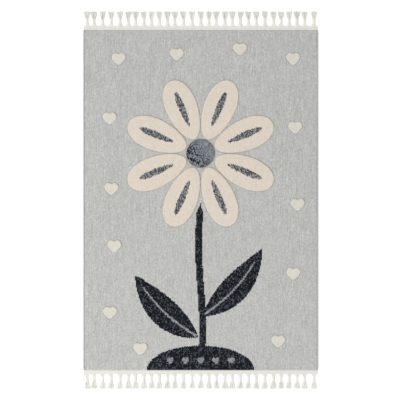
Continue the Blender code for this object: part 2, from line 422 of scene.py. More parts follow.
def alternate_lines(low, high, pitch, play, chance):
    """Groove lines with a tuft line midway between each two, the pitch varying by the play."""
    count = round((high - low) / pitch)
    widths = 1.0 + chance.uniform(-play, play, count)
    lines = np.empty(2 * count + 1)
    lines[0::2] = low + (high - low) * np.concatenate([[0.0], np.cumsum(widths)]) / widths.sum()
    lines[1::2] = 0.5 * (lines[2::2] + lines[:-1:2])
    return lines


def make_lattice():
    """The lattice's points: wale lines by row lines, each wale slipped along by a part of a row."""
    chance = np.random.default_rng(LATTICE_SEED)
    wale_lines = alternate_lines(PILE_LOW.x, PILE_HIGH.x, WALE_PITCH, WALE_PLAY, chance)
    row_lines = alternate_lines(PILE_LOW.y, PILE_HIGH.y, ROW_PITCH, ROW_PLAY, chance)
    x, y = np.meshgrid(wale_lines, row_lines, indexing="ij")
    wales = len(wale_lines) // 2
    rows = len(row_lines) // 2
    slip = np.zeros(len(wale_lines))
    slip[1::2] = HALF_DROP * (-1.0) ** np.arange(wales) + chance.uniform(-DROP_PLAY, DROP_PLAY, wales)
    slip[2:-1:2] = 0.5 * (slip[1:-2:2] + slip[3::2])
    from_end = np.minimum(np.arange(len(row_lines)), np.arange(len(row_lines))[::-1])
    y += ROW_PITCH * slip[:, None] * np.clip(from_end / SLIP_EASED_LINES, 0.0, 1.0)
    x[1::2, 1::2] += chance.normal(0.0, TUFT_PLACE_PLAY, (wales, rows))
    y[1::2, 1::2] += chance.normal(0.0, TUFT_PLACE_PLAY, (wales, rows))
    return {"x": x, "y": y, "lift": chance.normal(0.0, 1.0, (wales, rows))}


def relief(lift, kind):
    """How far each lattice point lies below the pile's top, and its share of painted shade from 0 to 1, the
    more the deeper it lies.

    A tuft's own point is at the top, give or take its height play. Points between tufts of a wale are
    down by the row dip, and points between wales by the wale dip.
    """
    dip = np.zeros([2 * tufts + 1 for tufts in lift.shape])
    dip[:, 0::2] = kind["row_dip"]
    dip[0::2, :] = kind["wale_dip"]
    dip[0::2, 0::2] += CROSSING_DIP_SHARE * kind["row_dip"]
    depth = dip / dip.max()
    dip[1::2, 1::2] -= kind["height_play"] * lift
    return dip, depth


def cell_corners(columns, rows, chosen):
    """Quads of the chosen cells of a grid of points, counter-clockwise from above."""
    first = np.arange(columns - 1)[:, None] * rows + np.arange(rows - 1)
    corner = first[chosen]
    return np.stack([corner, corner + rows, corner + rows + 1, corner + 1], axis=1)


def keep_used(points, quads):
    """Drop the points that no face uses, and return which were kept."""
    used = np.unique(quads)
    place = np.zeros(len(points), int)
    place[used] = np.arange(len(used))
    return points[used], place[quads], used


def open_edges(quads):
    """The edges that only one face has, each running the way its face goes round."""
    edges = np.concatenate([quads[:, [corner, (corner + 1) % 4]] for corner in range(4)])
    owner = np.tile(np.arange(len(quads)), 4)
    size = quads.max() + 1
    forward = edges[:, 0] * size + edges[:, 1]
    backward = edges[:, 1] * size + edges[:, 0]
    alone = ~np.isin(forward, backward)
    return edges[alone], owner[alone]


def add_skirt(points, quads, edges, flare):
    """Walls from open edges down to the pile's root, flared outwards, which is to the edges' right."""
    rim = np.unique(edges)
    run = points[edges[:, 1], :2] - points[edges[:, 0], :2]
    outward = np.zeros((len(points), 2))
    for end in range(2):
        np.add.at(outward, edges[:, end], np.stack([run[:, 1], -run[:, 0]], axis=1))
    outward /= np.maximum(np.hypot(outward[:, 0], outward[:, 1]), TINY)[:, None]
    below = np.zeros(len(points), int)
    below[rim] = len(points) + np.arange(len(rim))
    foot_points = np.column_stack([points[rim, :2] + flare * outward[rim], np.full(len(rim), PILE_ROOT)])
    walls = np.stack([edges[:, 1], edges[:, 0], below[edges[:, 0]], below[edges[:, 1]]], axis=1)
    return np.concatenate([points, foot_points]), np.concatenate([quads, walls]), rim


# Yarn colours, one for each tuft.


def streaks(wales, rows, chance):
    """Tone along each wale: chance steps averaged over a few rows, so that streaks run lengthwise."""
    total = np.cumsum(chance.normal(size=(wales, rows + STREAK_ROWS)), axis=1)
    return (total[:, STREAK_ROWS:] - total[:, :-STREAK_ROWS]) / math.sqrt(STREAK_ROWS)


def dyed(yarn_name, shape, streak, chance):
    """A colour for each tuft: one of the yarn's shades by chance, made lighter or darker a little."""
    shades, shares, streak_tone, speck_tone = YARNS[yarn_name]
    picked = chance.choice(len(shades), size=shape, p=shares)
    tone = 1.0 + streak_tone * streak + chance.normal(0.0, speck_tone, shape)
    return linear(shades)[picked] * np.clip(tone, *TONE_LIMITS)[..., None]


def paint(colour, where, yarn_name, streak, chance):
    """Give the tufts where the mask is true another yarn."""
    other = dyed(yarn_name, where.shape, streak, chance)
    colour[where] = other[where]


def ground_colours(lattice):
    """Every tuft's yarn: grey, with the flush charcoal shapes and their pale lines woven in."""
    chance = np.random.default_rng(COLOUR_SEED)
    x = lattice["x"][1::2, 1::2]
    y = lattice["y"][1::2, 1::2]
    streak = streaks(*x.shape, chance)
    colour = dyed("grey", x.shape, streak, chance)
    mound = egg_outline(0.0, MOUND_HALF_WIDTH, MOUND_HEIGHT, centre=(0.0, PILE_LOW.y))
    woven = [("charcoal", [stem_outline(), mound] + [leaf_outline(leaf) for leaf in LEAVES]),
             ("pale_blue", [midrib_outline(leaf) for leaf in LEAVES] + mound_heart_outlines())]
    for yarn_name, outlines in woven:
        for outline in outlines:
            part = window(outline, x, y, WALE_PITCH)
            distance, _ = distance_inside(outline, x[part], y[part])
            paint(colour[part], distance > 0.0, yarn_name, streak[part], chance)
    return colour, streak


def petal_colours(direction):
    """A petal's tufts: cream, with a slate vein."""
    def colours(x, y, streak, chance):
        """Cream, and slate inside the vein."""
        colour = dyed("cream", x.shape, streak, chance)
        vein, _ = distance_inside(vein_outline(direction), x, y)
        paint(colour, vein > 0.0, "slate", streak, chance)
        return colour
    return colours


def disc_colours(x, y, streak, chance):
    """The disc's tufts: blue-grey, with charcoal speckles that thicken towards its lower left half."""
    colour = dyed("blue_grey", x.shape, streak, chance)
    lower_left = SPECKLE_DIRECTION[0] * (x - BLOOM_CENTRE[0]) + SPECKLE_DIRECTION[1] * (y - BLOOM_CENTRE[1])
    likely = SPECKLE_SHARE * smooth_step(0.5 + lower_left / (SPECKLE_SPREAD * DISC_RADIUS))
    paint(colour, chance.random(x.shape) < likely, "charcoal", streak, chance)
    return colour


def heart_colours(x, y, streak, chance):
    """A heart's tufts: pale cream."""
    return dyed("pale_cream", x.shape, streak, chance)


# Materials.


def new_material(name):
    """A material with its Principled shader."""
    material = bpy.data.materials.new(name)
    material.use_nodes = True
    return material, material.node_tree, material.node_tree.nodes["Principled BSDF"]


def feed(tree, socket, source):
    """Give a socket a value, or link another node's output to it."""
    if isinstance(source, bpy.types.NodeSocket):
        tree.links.new(source, socket)
    else:
        socket.default_value = source


def feed_inputs(tree, node, **sources):
    """Feed a node's sockets by their names, with _ for a space."""
    for name, source in sources.items():
        feed(tree, node.inputs[name.replace("_", " ")], source)


def add_node(tree, kind, output, settings=None, **sources):
    """The named output of a new node with these settings and inputs."""
    node = tree.nodes.new(kind)
    for name, value in (settings or {}).items():
        setattr(node, name, value)
    feed_inputs(tree, node, **sources)
    return node.outputs[output]


def maths(tree, operation, *sources):
    """A number worked out from others."""
    node = tree.nodes.new("ShaderNodeMath")
    node.operation = operation
    for socket, source in zip(node.inputs, sources):
        feed(tree, socket, source)
    return node.outputs["Value"]


def object_places(tree):
    """Places on the piece in its own coordinates, in metres."""
    return add_node(tree, "ShaderNodeTexCoord", "Object")


def fibre_noise(tree, places, scale, detail, stretch=(1.0, 1.0, 1.0)):
    """Noise at a fibre's scale, which may be stretched along an axis."""
    placed = add_node(tree, "ShaderNodeMapping", "Vector", Vector=places, Scale=stretch)
    return add_node(tree, "ShaderNodeTexNoise", "Fac", Vector=placed, Scale=scale, Detail=detail,
                    Roughness=0.6)


def to_range(tree, value, low, high):
    """A value from 0 to 1 taken to another range."""
    return add_node(tree, "ShaderNodeMapRange", "Result", Value=value, To_Min=low, To_Max=high)


def times(tree, colour, factor):
    """A colour multiplied by a grey factor."""
    return add_node(tree, "ShaderNodeVectorMath", "Vector", {"operation": "SCALE"}, Vector=colour,
                    Scale=factor)


def bump(tree, height, strength, distance):
    """Low relief for a shader, its distance in metres."""
    return add_node(tree, "ShaderNodeBump", "Normal", Height=height, Strength=strength, Distance=distance)


def attribute(tree, name, output):
    """One of the piece's own attributes."""
    return add_node(tree, "ShaderNodeAttribute", output, {"attribute_name": name})


def fibred_colour(tree, fibres, spread):
    """Each yarn's own colour, lighter and darker by the spread from fibre to fibre."""
    return times(tree, attribute(tree, "yarn", "Color"), to_range(tree, fibres, 1.0 - spread, 1.0 + spread))


def pile_material(name, fibre_spread, painted_groove_shade, sheen):
    """Cut pile: each tuft's own yarn colour, fibre ends as fine noise, and painted shade darkening the
    grooves.
    """
    material, tree, shader = new_material(name)
    places = object_places(tree)
    fibres = fibre_noise(tree, places, FIBRE_SCALE, detail=4.0)
    clumps = fibre_noise(tree, places, CLUMP_SCALE, detail=3.0)
    # Painted shade: the colour darkens in the grooves between tufts and wales, the more the deeper they
    # lie.
    shade = to_range(tree, attribute(tree, "depth", "Fac"), 1.0, painted_groove_shade)
    feed_inputs(tree, shader, Base_Color=times(tree, fibred_colour(tree, fibres, fibre_spread), shade),
                Roughness=to_range(tree, clumps, 0.80, 1.0), Specular_IOR_Level=0.18,
                Sheen_Weight=sheen, Sheen_Roughness=0.55,
                Normal=bump(tree, maths(tree, "ADD", fibres, clumps), strength=0.9, distance=0.0009))
    return material


def yarn_material(name, twist, fibre_spread):
    """Spun yarn: its own colour, fibres as fine noise, and its plies' slanting lines, in relief and in
    painted shade.
    """
    material, tree, shader = new_material(name)
    split = tree.nodes.new("ShaderNodeSeparateXYZ")
    feed_inputs(tree, split, Vector=add_node(tree, "ShaderNodeUVMap", "UV", {"uv_map": "yarn_way"}))
    slant = maths(tree, "MULTIPLY_ADD", split.outputs["X"], twist, split.outputs["Y"])
    ply = maths(tree, "SINE", maths(tree, "MULTIPLY", slant, FULL_TURN * PLIES))
    fibres = fibre_noise(tree, object_places(tree), SPUN_FIBRE_SCALE, detail=2.0)
    relief_height = maths(tree, "MULTIPLY_ADD", ply, PLY_RISE, fibres)
    # Painted shade and light: darker in the plies' grooves, lighter on their crests.
    shade = to_range(tree, ply, 0.96, 1.02)
    feed_inputs(tree, shader, Base_Color=times(tree, fibred_colour(tree, fibres, fibre_spread), shade),
                Roughness=to_range(tree, fibres, 0.78, 1.0), Specular_IOR_Level=0.2, Sheen_Weight=0.15,
                Normal=bump(tree, relief_height, strength=0.5, distance=0.0005))
    return material


def backing_material():
    """Plain woven backing: warp and weft lines crossing, with the yarns' unevenness."""
    material, tree, shader = new_material("woven_backing")
    places = object_places(tree)
    lines = [
        add_node(tree, "ShaderNodeTexWave", "Fac",
                 {"wave_type": "BANDS", "bands_direction": direction, "wave_profile": "SIN"},
                 Vector=places, Scale=WAVE_SCALE / pitch, Distortion=0.6, Detail=1.0)
        for direction, pitch in BACKING_LINES
    ]
    weave = maths(tree, "MAXIMUM", *lines)
    uneven = fibre_noise(tree, places, UNEVEN_SCALE, detail=4.0, stretch=(1.0, 8.0, 1.0))
    dark, light = ((*linear(shade), 1.0) for shade in BACKING_SHADES)
    colour = add_node(tree, "ShaderNodeMix", "Result", {"data_type": "RGBA"}, Factor=weave, A=dark, B=light)
    feed_inputs(tree, shader, Base_Color=times(tree, colour, to_range(tree, uneven, 0.86, 1.08)),
                Roughness=to_range(tree, uneven, 0.85, 1.0), Specular_IOR_Level=0.15,
                Normal=bump(tree, weave, strength=0.8, distance=0.0007))
    return material


# Meshes and pieces.


def add_object(name, data):
    """An object of this data, in the scene."""
    made = bpy.data.objects.new(name, data)
    bpy.context.scene.collection.objects.link(made)
    return made


def build_piece(name, node, slot_name, material, points, faces, **layers):
    """A piece from whole arrays, riding on the rug in its solid's place.

    faces is a list of arrays, of quads or of triangles. layers may hold uv, a place for each corner on
    the bake's map, way, the same on the yarn's map, yarn, a colour for each face, and the share of
    painted shade, a number for each point by which painted shade darkens it.
    """
    mesh = bpy.data.meshes.new(name)
    corners = np.concatenate([part.ravel() for part in faces])
    sizes = np.concatenate([np.full(len(part), part.shape[1]) for part in faces])
    mesh.vertices.add(len(points))
    mesh.loops.add(len(corners))
    mesh.polygons.add(len(sizes))
    fill(mesh.vertices, "co", points)
    fill(mesh.loops, "vertex_index", corners, np.int32)
    fill(mesh.polygons, "loop_start", np.cumsum(sizes) - sizes, np.int32)
    mesh.update(calc_edges=True)
    for map_name, key in (("OFBake", "uv"), ("yarn_way", "way")):
        if key in layers:
            fill(mesh.uv_layers.new(name=map_name).uv, "vector", layers[key])
    if "yarn" in layers:
        colour = np.column_stack([layers["yarn"], np.ones(len(sizes))])
        fill(mesh.attributes.new("yarn", "FLOAT_COLOR", "FACE").data, "color", colour)
    # Each point's share of painted shade, for the pile's shader.
    if "depth" in layers:
        fill(mesh.attributes.new("depth", "FLOAT", "POINT").data, "value", layers["depth"])
    mesh.validate()
    mesh.shade_smooth()
    mesh.materials.append(material)
    piece = add_object(name, mesh)
    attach(piece, BODY)
    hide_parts(node)
    return piece


def fill(places, name, values, kind=np.float32):
    """Put a whole array into a mesh's points, corners, faces or map."""
    places.foreach_set(name, np.asarray(values, kind).ravel())


def map_from_above(points, quads):
    """A corner's place on the bake's map: its place on the cloth, fitted to the map with a margin."""
    flat = points[:, :2]
    share = MAP_MARGIN + (1.0 - 2.0 * MAP_MARGIN) * (flat - flat.min(axis=0)) / np.ptp(flat, axis=0)
    return share[quads.ravel()]


def pile_piece(name, slot_name, material, points, chosen, colour, depth, walled, flare, wall_depth):
    """The lattice's chosen cells as a piece, with walls down where it is open between walled points.

    A cell takes the colour of the tuft whose point it touches, and a wall that of its cell. Every point
    keeps its share of painted shade, and the walls' feet take the walls' painted shade.
    """
    points, quads, used = keep_used(points, cell_corners(*depth.shape, chosen))
    edges, owner = open_edges(quads)
    on_rim = walled.ravel()[used][edges].all(axis=1)
    points, quads, rim_points = add_skirt(points, quads, edges[on_rim], flare)
    column, row = (cells // 2 for cells in np.nonzero(chosen))
    yarn = colour[column, row]
    yarn = np.concatenate([yarn, yarn[owner[on_rim]]])
    depth = np.concatenate([depth.ravel()[used], np.full(len(rim_points), wall_depth)])
    return build_piece(name, "pile_cloth", slot_name, material, points, [quads], yarn=yarn, depth=depth,
                       uv=map_from_above(points, quads))


def at_middles(values):
    """The mean over each cell's four points."""
    return 0.25 * (values[1:, 1:] + values[:-1, 1:] + values[1:, :-1] + values[:-1, :-1])


def island_distance(lattice, outlines):
    """Each lattice point's distance inside its nearest raised motif, negative outside them all."""
    distance = np.full(lattice["x"].shape, -1.0)
    for outline in outlines:
        part = window(outline, lattice["x"], lattice["y"], CARVED_REACH)
        found, _ = distance_inside(outline, lattice["x"][part], lattice["y"][part])
        distance[part] = np.maximum(distance[part], found)
    return distance


def make_ground(lattice, outlines, colour, material):
    """The grey ground pile in strips, low where the motifs' carved lines run, with painted shade there, and
    rounded at its rim.

    Its two long rims reach a little under the overcast stitches, and no rim has a deep groove.
    """
    x, y = lattice["x"].copy(), lattice["y"]
    dip, depth = relief(lattice["lift"], GROUND_RELIEF)
    x[[0, -1]] += np.array([[-CLOTH_EDGE_REACH], [CLOTH_EDGE_REACH]])
    # The rims' dips are made shallower, and their painted groove shade lighter with them.
    for low_places in (dip, depth):
        low_places[[0, -1]] *= CLOTH_EDGE_DIP_SHARE
        low_places[:, [0, -1]] *= CLOTH_END_DIP_SHARE
    inside = island_distance(lattice, outlines)
    carved = CARVED_DEPTH * np.exp(-(np.minimum(inside, 0.0) / CARVED_WIDTH) ** 2)
    to_side = np.minimum(x - PILE_LOW.x, PILE_HIGH.x - x)
    to_end = np.minimum(y - PILE_LOW.y, PILE_HIGH.y - y)
    rim = np.minimum(to_side, to_end)
    rounded = sum(drop * (1.0 - np.clip(gap / CLOTH_EDGE_ROUND, 0.0, 1.0)) ** 2
                  for gap, drop in ((to_side, CLOTH_SIDE_DROP), (to_end, CLOTH_END_DROP)))
    z = GROUND_TOP - dip - carved - rounded
    # Painted shade: the carved lines round the motifs darken with their depth, over the grooves' own
    # painted shade.
    depth = np.clip(depth + CARVED_PAINTED_SHADE * carved / CARVED_DEPTH, 0.0, 1.0)
    shown = at_middles(inside) < GROUND_UNDER_MOTIF
    points = np.column_stack([x.ravel(), y.ravel(), z.ravel()])
    strip_of_row = np.arange(shown.shape[1]) * GROUND_STRIPS // shown.shape[1]
    return [
        pile_piece(f"ground_pile_{strip + 1}", "grey_pile", material, points,
                   shown & (strip_of_row == strip), colour, depth, rim < ON_RIM, 0.0, CLOTH_WALL_PAINTED_SHADE)
        for strip in range(GROUND_STRIPS)
    ]


def without_tips(chosen):
    """Chosen cells, less those that hang on by one side alone."""
    padded = np.pad(chosen, 1).astype(int)
    sides = padded[2:, 1:-1] + padded[:-2, 1:-1] + padded[1:-1, 2:] + padded[1:-1, :-2]
    return chosen & (sides > 1)


def without_pinches(chosen):
    """Chosen cells, with one more wherever two touch by a corner alone."""
    full = chosen.copy()
    near, right, up, far = chosen[:-1, :-1], chosen[1:, :-1], chosen[:-1, 1:], chosen[1:, 1:]
    full[1:, :-1] |= near & far & ~right & ~up
    full[:-1, :-1] |= right & up & ~near & ~far
    return full


def mean_of_neighbours(flat, edges):
    """Each rim place halfway towards the middle of the two beside it on the rim."""
    beside = np.zeros(flat.shape)
    count = np.zeros((len(flat), 1))
    for end in range(2):
        np.add.at(beside, edges[:, end], flat[edges[:, 1 - end]])
        np.add.at(count, edges[:, end], 1.0)
    return 0.5 * flat + 0.5 * beside / np.maximum(count, 1.0)


def edge_waved(places):
    """Places on an outline shifted by two slow sines of their own place, so that the edge runs unevenly."""
    turn = FULL_TURN * MOTIF_EDGE_WAVES_A_METRE
    return places + MOTIF_EDGE_WAVE * np.sin(turn * (places @ np.array(MOTIF_EDGE_WAVE_MIX)))


def make_motif(name, outline, colours, slot_name, lattice, streak, material):
    """A raised motif: the lattice's cells inside its outline, their rim pulled onto the outline.

    The points just inside the rim are eased to the middle of their four neighbours. The top falls
    to the rim by a square, as a sheared edge does, and a flared wall runs down to the backing.
    """
    part = window(outline, lattice["x"], lattice["y"], 2.0 * WALE_PITCH)
    part = tuple(slice(2 * (side.start // 2), 2 * (side.stop // 2) + 1) for side in part)
    tufts = tuple(slice(side.start // 2, side.stop // 2) for side in part)
    x, y = lattice["x"][part], lattice["y"][part]
    chance = np.random.default_rng(LATTICE_SEED + len(name) + int(abs(outline[0].sum()) / SEED_PLACE_STEP))
    dip, depth = relief(lattice["lift"][tufts], MOTIF_RELIEF)
    middle_distance, _ = distance_inside(outline, at_middles(x), at_middles(y))
    chosen = without_pinches(without_tips(middle_distance > 0.0))
    distance, nearest = distance_inside(outline, x, y)
    quads = cell_corners(*x.shape, chosen)
    edges, _ = open_edges(quads)
    rim = np.unique(edges)
    distance = distance.ravel()
    flat = np.stack([x.ravel(), y.ravel()], axis=1)
    flat[rim] = nearest.reshape(-1, 2)[rim]
    for _ in range(RIM_EVENING_ROUNDS):
        evened = mean_of_neighbours(flat, edges)[rim]
        flat[rim] = distance_inside(outline, evened[:, 0], evened[:, 1])[1]
    flat[rim] = edge_waved(flat[rim])
    inner = np.setdiff1d(quads, rim)
    eased = inner[distance[inner] < RIM_EASED_WIDTH]
    row_length = x.shape[1]
    for _ in range(RIM_EVENING_ROUNDS):
        flat[eased] = 0.25 * sum(flat[eased + step] for step in (1, -1, row_length, -row_length))
    distance[rim] = 0.0
    fall = MOTIF_EDGE_DROP * (1.0 - np.clip(distance / MOTIF_EDGE_ROUND, 0.0, 1.0)) ** 2
    z = MOTIF_TOP - dip.ravel() - fall
    z[rim] = MOTIF_TOP - MOTIF_EDGE_DROP
    colour = colours(x[1::2, 1::2], y[1::2, 1::2], streak[tufts], chance)
    # A motif's walls take the full painted shade.
    return pile_piece(name, slot_name, material, np.column_stack([flat, z]), chosen, colour, depth,
                      np.ones(x.shape, bool), MOTIF_FLARE, 1.0)


def make_backing(material):
    """The woven base: a thin closed sheet whose underside has a low rib along each weft."""
    low, high = PILE_LOW, PILE_HIGH
    wefts = round((high.y - low.y) / ROW_PITCH)
    y = np.linspace(low.y, high.y, 2 * wefts + 1)
    rib = np.where(np.arange(len(y)) % 2 == 0, BACKING_RIB_RISE, 0.0)
    x = np.linspace(low.x, high.x, BACKING_COLUMNS)
    grid_x, grid_y = np.meshgrid(x, y, indexing="ij")
    over, under = (np.stack([grid_x, grid_y, np.broadcast_to(z, grid_x.shape)], axis=2).reshape(-1, 3)
                   for z in (BACKING_TOP, rib))
    every = np.ones((len(x) - 1, len(y) - 1), bool)
    top = cell_corners(len(x), len(y), every)
    edges, _ = open_edges(top)
    below = len(over)
    bottom = top[:, ::-1] + below
    walls = np.stack([edges[:, 1], edges[:, 0], edges[:, 0] + below, edges[:, 1] + below], axis=1)
    points = np.concatenate([over, under])
    share = (points[:, :2] - (low.x, low.y)) / (high.x - low.x, high.y - low.y)
    uv = np.concatenate([share[part.ravel()] * MAP_HALF + (start + MAP_MARGIN, MAP_MARGIN)
                         for part, start in ((top, 0.0), (bottom, 0.5), (walls, 0.0))])
    return build_piece("backing_cloth", "pile_cloth", "backing_cloth", material, points,
                       [top, bottom, walls], uv=uv)


def tube_quads(stations, around):
    """Quads between the rings of a tube, facing out where the rings run counter-clockwise ahead."""
    station = np.arange(stations - 1)[:, None]
    step = np.arange(around)[None, :]
    following = (step + 1) % around
    corner = np.stack([station * around + step, station * around + following,
                       (station + 1) * around + following, (station + 1) * around + step], axis=2)
    return corner.reshape(-1, 4)


def end_fans(stations, around, first_pole, last_pole):
    """Triangles from a pole to the first ring and to the last."""
    step = np.arange(around)
    following = (step + 1) % around
    last = (stations - 1) * around
    start = np.stack([following, step, np.full(around, first_pole)], axis=1)
    end = np.stack([last + step, last + following, np.full(around, last_pole)], axis=1)
    return np.concatenate([start, end])


def tube_steps(stations, around):
    """The corners of a tube's quads and end fans: first stations, steps round, fan ends and fan steps."""
    station = np.repeat(np.arange(stations - 1), around)[:, None]
    step = np.tile(np.arange(around), stations - 1)[:, None] + np.array([0, 1, 1, 0])
    fan_end = np.repeat([0.0, 1.0], around)[:, None]
    fan_step = np.tile(np.arange(around), 2)[:, None] + np.array([1, 0, 0.5])
    return station, step, fan_end, fan_step


def folded_map(stations, around, map_rows):
    """Corner places of a long tube on the map, its length folded into rows, fans at the rows' ends."""
    station, step, fan_end, fan_step = tube_steps(stations, around)
    each = math.ceil((stations - 1) / map_rows)
    row = station // each
    along = (station - row * each + np.array([0, 0, 1, 1])) / each
    fan_row = fan_end * ((stations - 2) // each)
    fan_along = fan_end + np.array([0.0, 0.0, MAP_ROD_TIP])
    parts = ((along, row, step), (fan_along, fan_row, fan_step))
    return np.concatenate([
        np.stack([place, (line + place_in_row(turn, around)) / map_rows], axis=2).reshape(-1, 2)
        for place, line, turn in parts
    ])


def place_in_row(step, around):
    """A step round a tube as its place across a row of the map, with a margin at both sides."""
    return MAP_ROW_MARGIN + (1.0 - 2.0 * MAP_ROW_MARGIN) * step / around


def make_rod(name, node, slot_name, material, rings, poles, tones, shade, way_axes, way_scale, map_rows):
    """A long closed tube from its rings and its two end points, with a tone for each of its quads.

    A corner's place on the yarn's map is its place along two axes, scaled.
    """
    stations, around = rings.shape[:2]
    points = np.concatenate([rings.reshape(-1, 3), poles])
    quads = tube_quads(stations, around)
    fans = end_fans(stations, around, stations * around, stations * around + 1)
    yarn = np.concatenate([tones, np.ones(2 * around)])[:, None] * linear(shade)
    way = points[np.concatenate([quads.ravel(), fans.ravel()])][:, way_axes] * way_scale
    return build_piece(name, node, slot_name, material, points, [quads, fans], yarn=yarn, way=way,
                       uv=folded_map(stations, around, map_rows))


def end_swell(gap, length):
    """0 at an end and 1 from a length away: one less the square of the share that is left."""
    return 1.0 - (1.0 - np.clip(gap / length, 0.0, 1.0)) ** 2


def squared(wave):
    """A wave pushed towards its extremes, for a section between an oval and a box."""
    return np.sign(wave) * np.abs(wave) ** SERGING_SQUARENESS


def make_serging(name, material):
    """Overcast yarn round a side: an oval rod whose stitches swell and slant round it.

    The rod's radius grows by a rounded wave of the length less a part of the turn, so that each swell
    is one stitch lying askew.
    """
    low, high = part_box(name)
    length = high.y - low.y
    middle_x, half_width = 0.5 * (low.x + high.x), 0.5 * (high.x - low.x)
    middle_z, half_height = 0.5 * (low.z + high.z), 0.5 * (high.z - low.z)
    stitches = round(length / SERGING_STITCH)
    stations = stitches * SERGING_STEPS_A_STITCH + 1
    along = np.linspace(0.0, 1.0, stations)[:, None]
    turn = np.linspace(0.0, FULL_TURN, SERGING_AROUND, endpoint=False)[None, :]
    chance = np.random.default_rng(LATTICE_SEED + len(name))
    lean = SERGING_SLANT * np.sin(turn)
    wave = np.abs(np.sin(math.pi * (along * stitches + lean))) ** SERGING_ROUNDNESS
    swell = end_swell(np.minimum(along, 1.0 - along) * length, SERGING_END_LENGTH)
    size = SERGING_END_SIZE + (1.0 - SERGING_END_SIZE) * swell
    size = size * (1.0 + SERGING_SIZE_PLAY * chance.normal(size=(stations, 1)))
    reach_x, reach_z = ((half - SERGING_BULGE + SERGING_BULGE * wave) * size
                        for half in (half_width, half_height))
    x = middle_x - reach_x * squared(np.cos(turn))
    z = np.maximum(middle_z + reach_z * squared(np.sin(turn)), low.z)
    y = low.y + length * np.broadcast_to(along, x.shape)
    stitch_tone = 1.0 + chance.normal(0.0, SERGING_TONE_PLAY, stitches + 1)
    stitch = np.repeat(np.arange(stations - 1), SERGING_AROUND) // SERGING_STEPS_A_STITCH
    # Painted shade: each quad darker the deeper it lies in the groove between two stitches.
    groove = SERGING_PAINTED_SHADE + (1.0 - SERGING_PAINTED_SHADE) * (0.5 * (wave[1:] + wave[:-1])).ravel()
    return make_rod(name + "_stitches", name, "serging_yarn", material, np.stack([x, y, z], axis=2),
                    [[middle_x, low.y, middle_z], [middle_x, high.y, middle_z]],
                    stitch_tone[stitch] * groove, SERGING_SHADE, [1, 2], 1.0 / (2.0 * half_height),
                    SERGING_UV_ROWS)


def tape_section():
    """The tape's outline across: its woven top, cord by cord, and its flat underside.

    The top rises by a rounded wave over each cord. It stays nearly full at the inner edge, where the
    pile stands against it. The places run from the inner edge outwards over the top and back below,
    in shares of the width, heights in metres.
    """
    steps = 2 * TAPE_CORDS + 1
    across = np.linspace(0.0, 1.0, steps)
    cord = np.abs(np.sin(math.pi * TAPE_CORDS * across)) * TAPE_CORD_RISE
    from_middle = np.maximum(2.0 * across - 1.0, -TAPE_INNER_FULLNESS)
    edge = np.sqrt(np.clip(1.0 - from_middle ** TAPE_EDGE_POWER, 0.0, 1.0))
    top = TAPE_RIM_HEIGHT + (TAPE_HEIGHT - TAPE_RIM_HEIGHT - TAPE_CORD_RISE) * edge + cord * edge
    under = np.array([1.0 - TAPE_UNDER_INSET, 0.5, TAPE_UNDER_INSET])
    return np.concatenate([across, under]), np.concatenate([top, np.zeros(3)]), steps


def make_tape(node, name, side, material):
    """The woven tape: its section carried along X, rising and falling with each rib of weft."""
    low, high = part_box(node)
    inner = low.y if side > 0 else high.y
    ribs = round((high.x - low.x) / TAPE_RIB)
    stations = 2 * ribs + 1
    x = np.linspace(low.x, high.x, stations)[:, None]
    share, height, top_steps = tape_section()
    around = len(share)
    chance = np.random.default_rng(TAPE_SEED)
    rib = np.where(np.arange(stations) % 2 == 0, 0.0, 1.0)[:, None]
    is_top = (np.arange(around) < top_steps)[None, :]
    swell = end_swell(0.5 * (high.x - low.x) - np.abs(x), TAPE_CORNER_LENGTH)
    corner = np.sqrt(np.clip(swell, TAPE_CORNER_SHARE, 1.0))
    z = np.maximum(height * corner - TAPE_RIB_RISE * (1.0 - rib) * is_top * corner, 0.0)
    sways = chance.normal(size=TAPE_SWAYS)
    sway = TAPE_SWAY * np.interp(x[:, 0], np.linspace(low.x, high.x, TAPE_SWAYS), sways)[:, None]
    y = inner + side * (TAPE_WIDTH * share + sway * share * (1.0 - share) * 4.0)
    if side > 0:
        y, z = y[:, ::-1], z[:, ::-1]
    middle = inner + side * 0.5 * TAPE_WIDTH
    rib_tone = 1.0 + chance.normal(0.0, TAPE_TONE_PLAY, stations)
    return make_rod(name, node, "fringe_cotton", material,
                    np.stack([np.broadcast_to(x, z.shape), y, z], axis=2),
                    [[low.x, middle, TAPE_END_HEIGHT], [high.x, middle, TAPE_END_HEIGHT]],
                    np.repeat(rib_tone[:-1], around), TAPE_SHADE, [0, 1],
                    (1.0 / TAPE_RIB, TAPE_PLY_TURNS / TAPE_WIDTH), TAPE_UV_ROWS)


def tassel_plays():
    """Each tassel's place along the tape, its lean and its spread, drawn in the solids' order."""
    chance = random.Random(TASSEL_SEED)
    plays = []
    for place in TASSEL_PLACES:
        lean = chance.uniform(-TASSEL_LEAN, TASSEL_LEAN)
        spread = 1.0 + chance.uniform(-LOCK_SPREAD_PLAY, LOCK_SPREAD_PLAY)
        plays.append((place, lean, spread))
        for lock in range(LOCKS_PER_TASSEL):
            if lock != LOCKS_PER_TASSEL // 2:
                chance.random()
            chance.random()
    return np.array(plays)


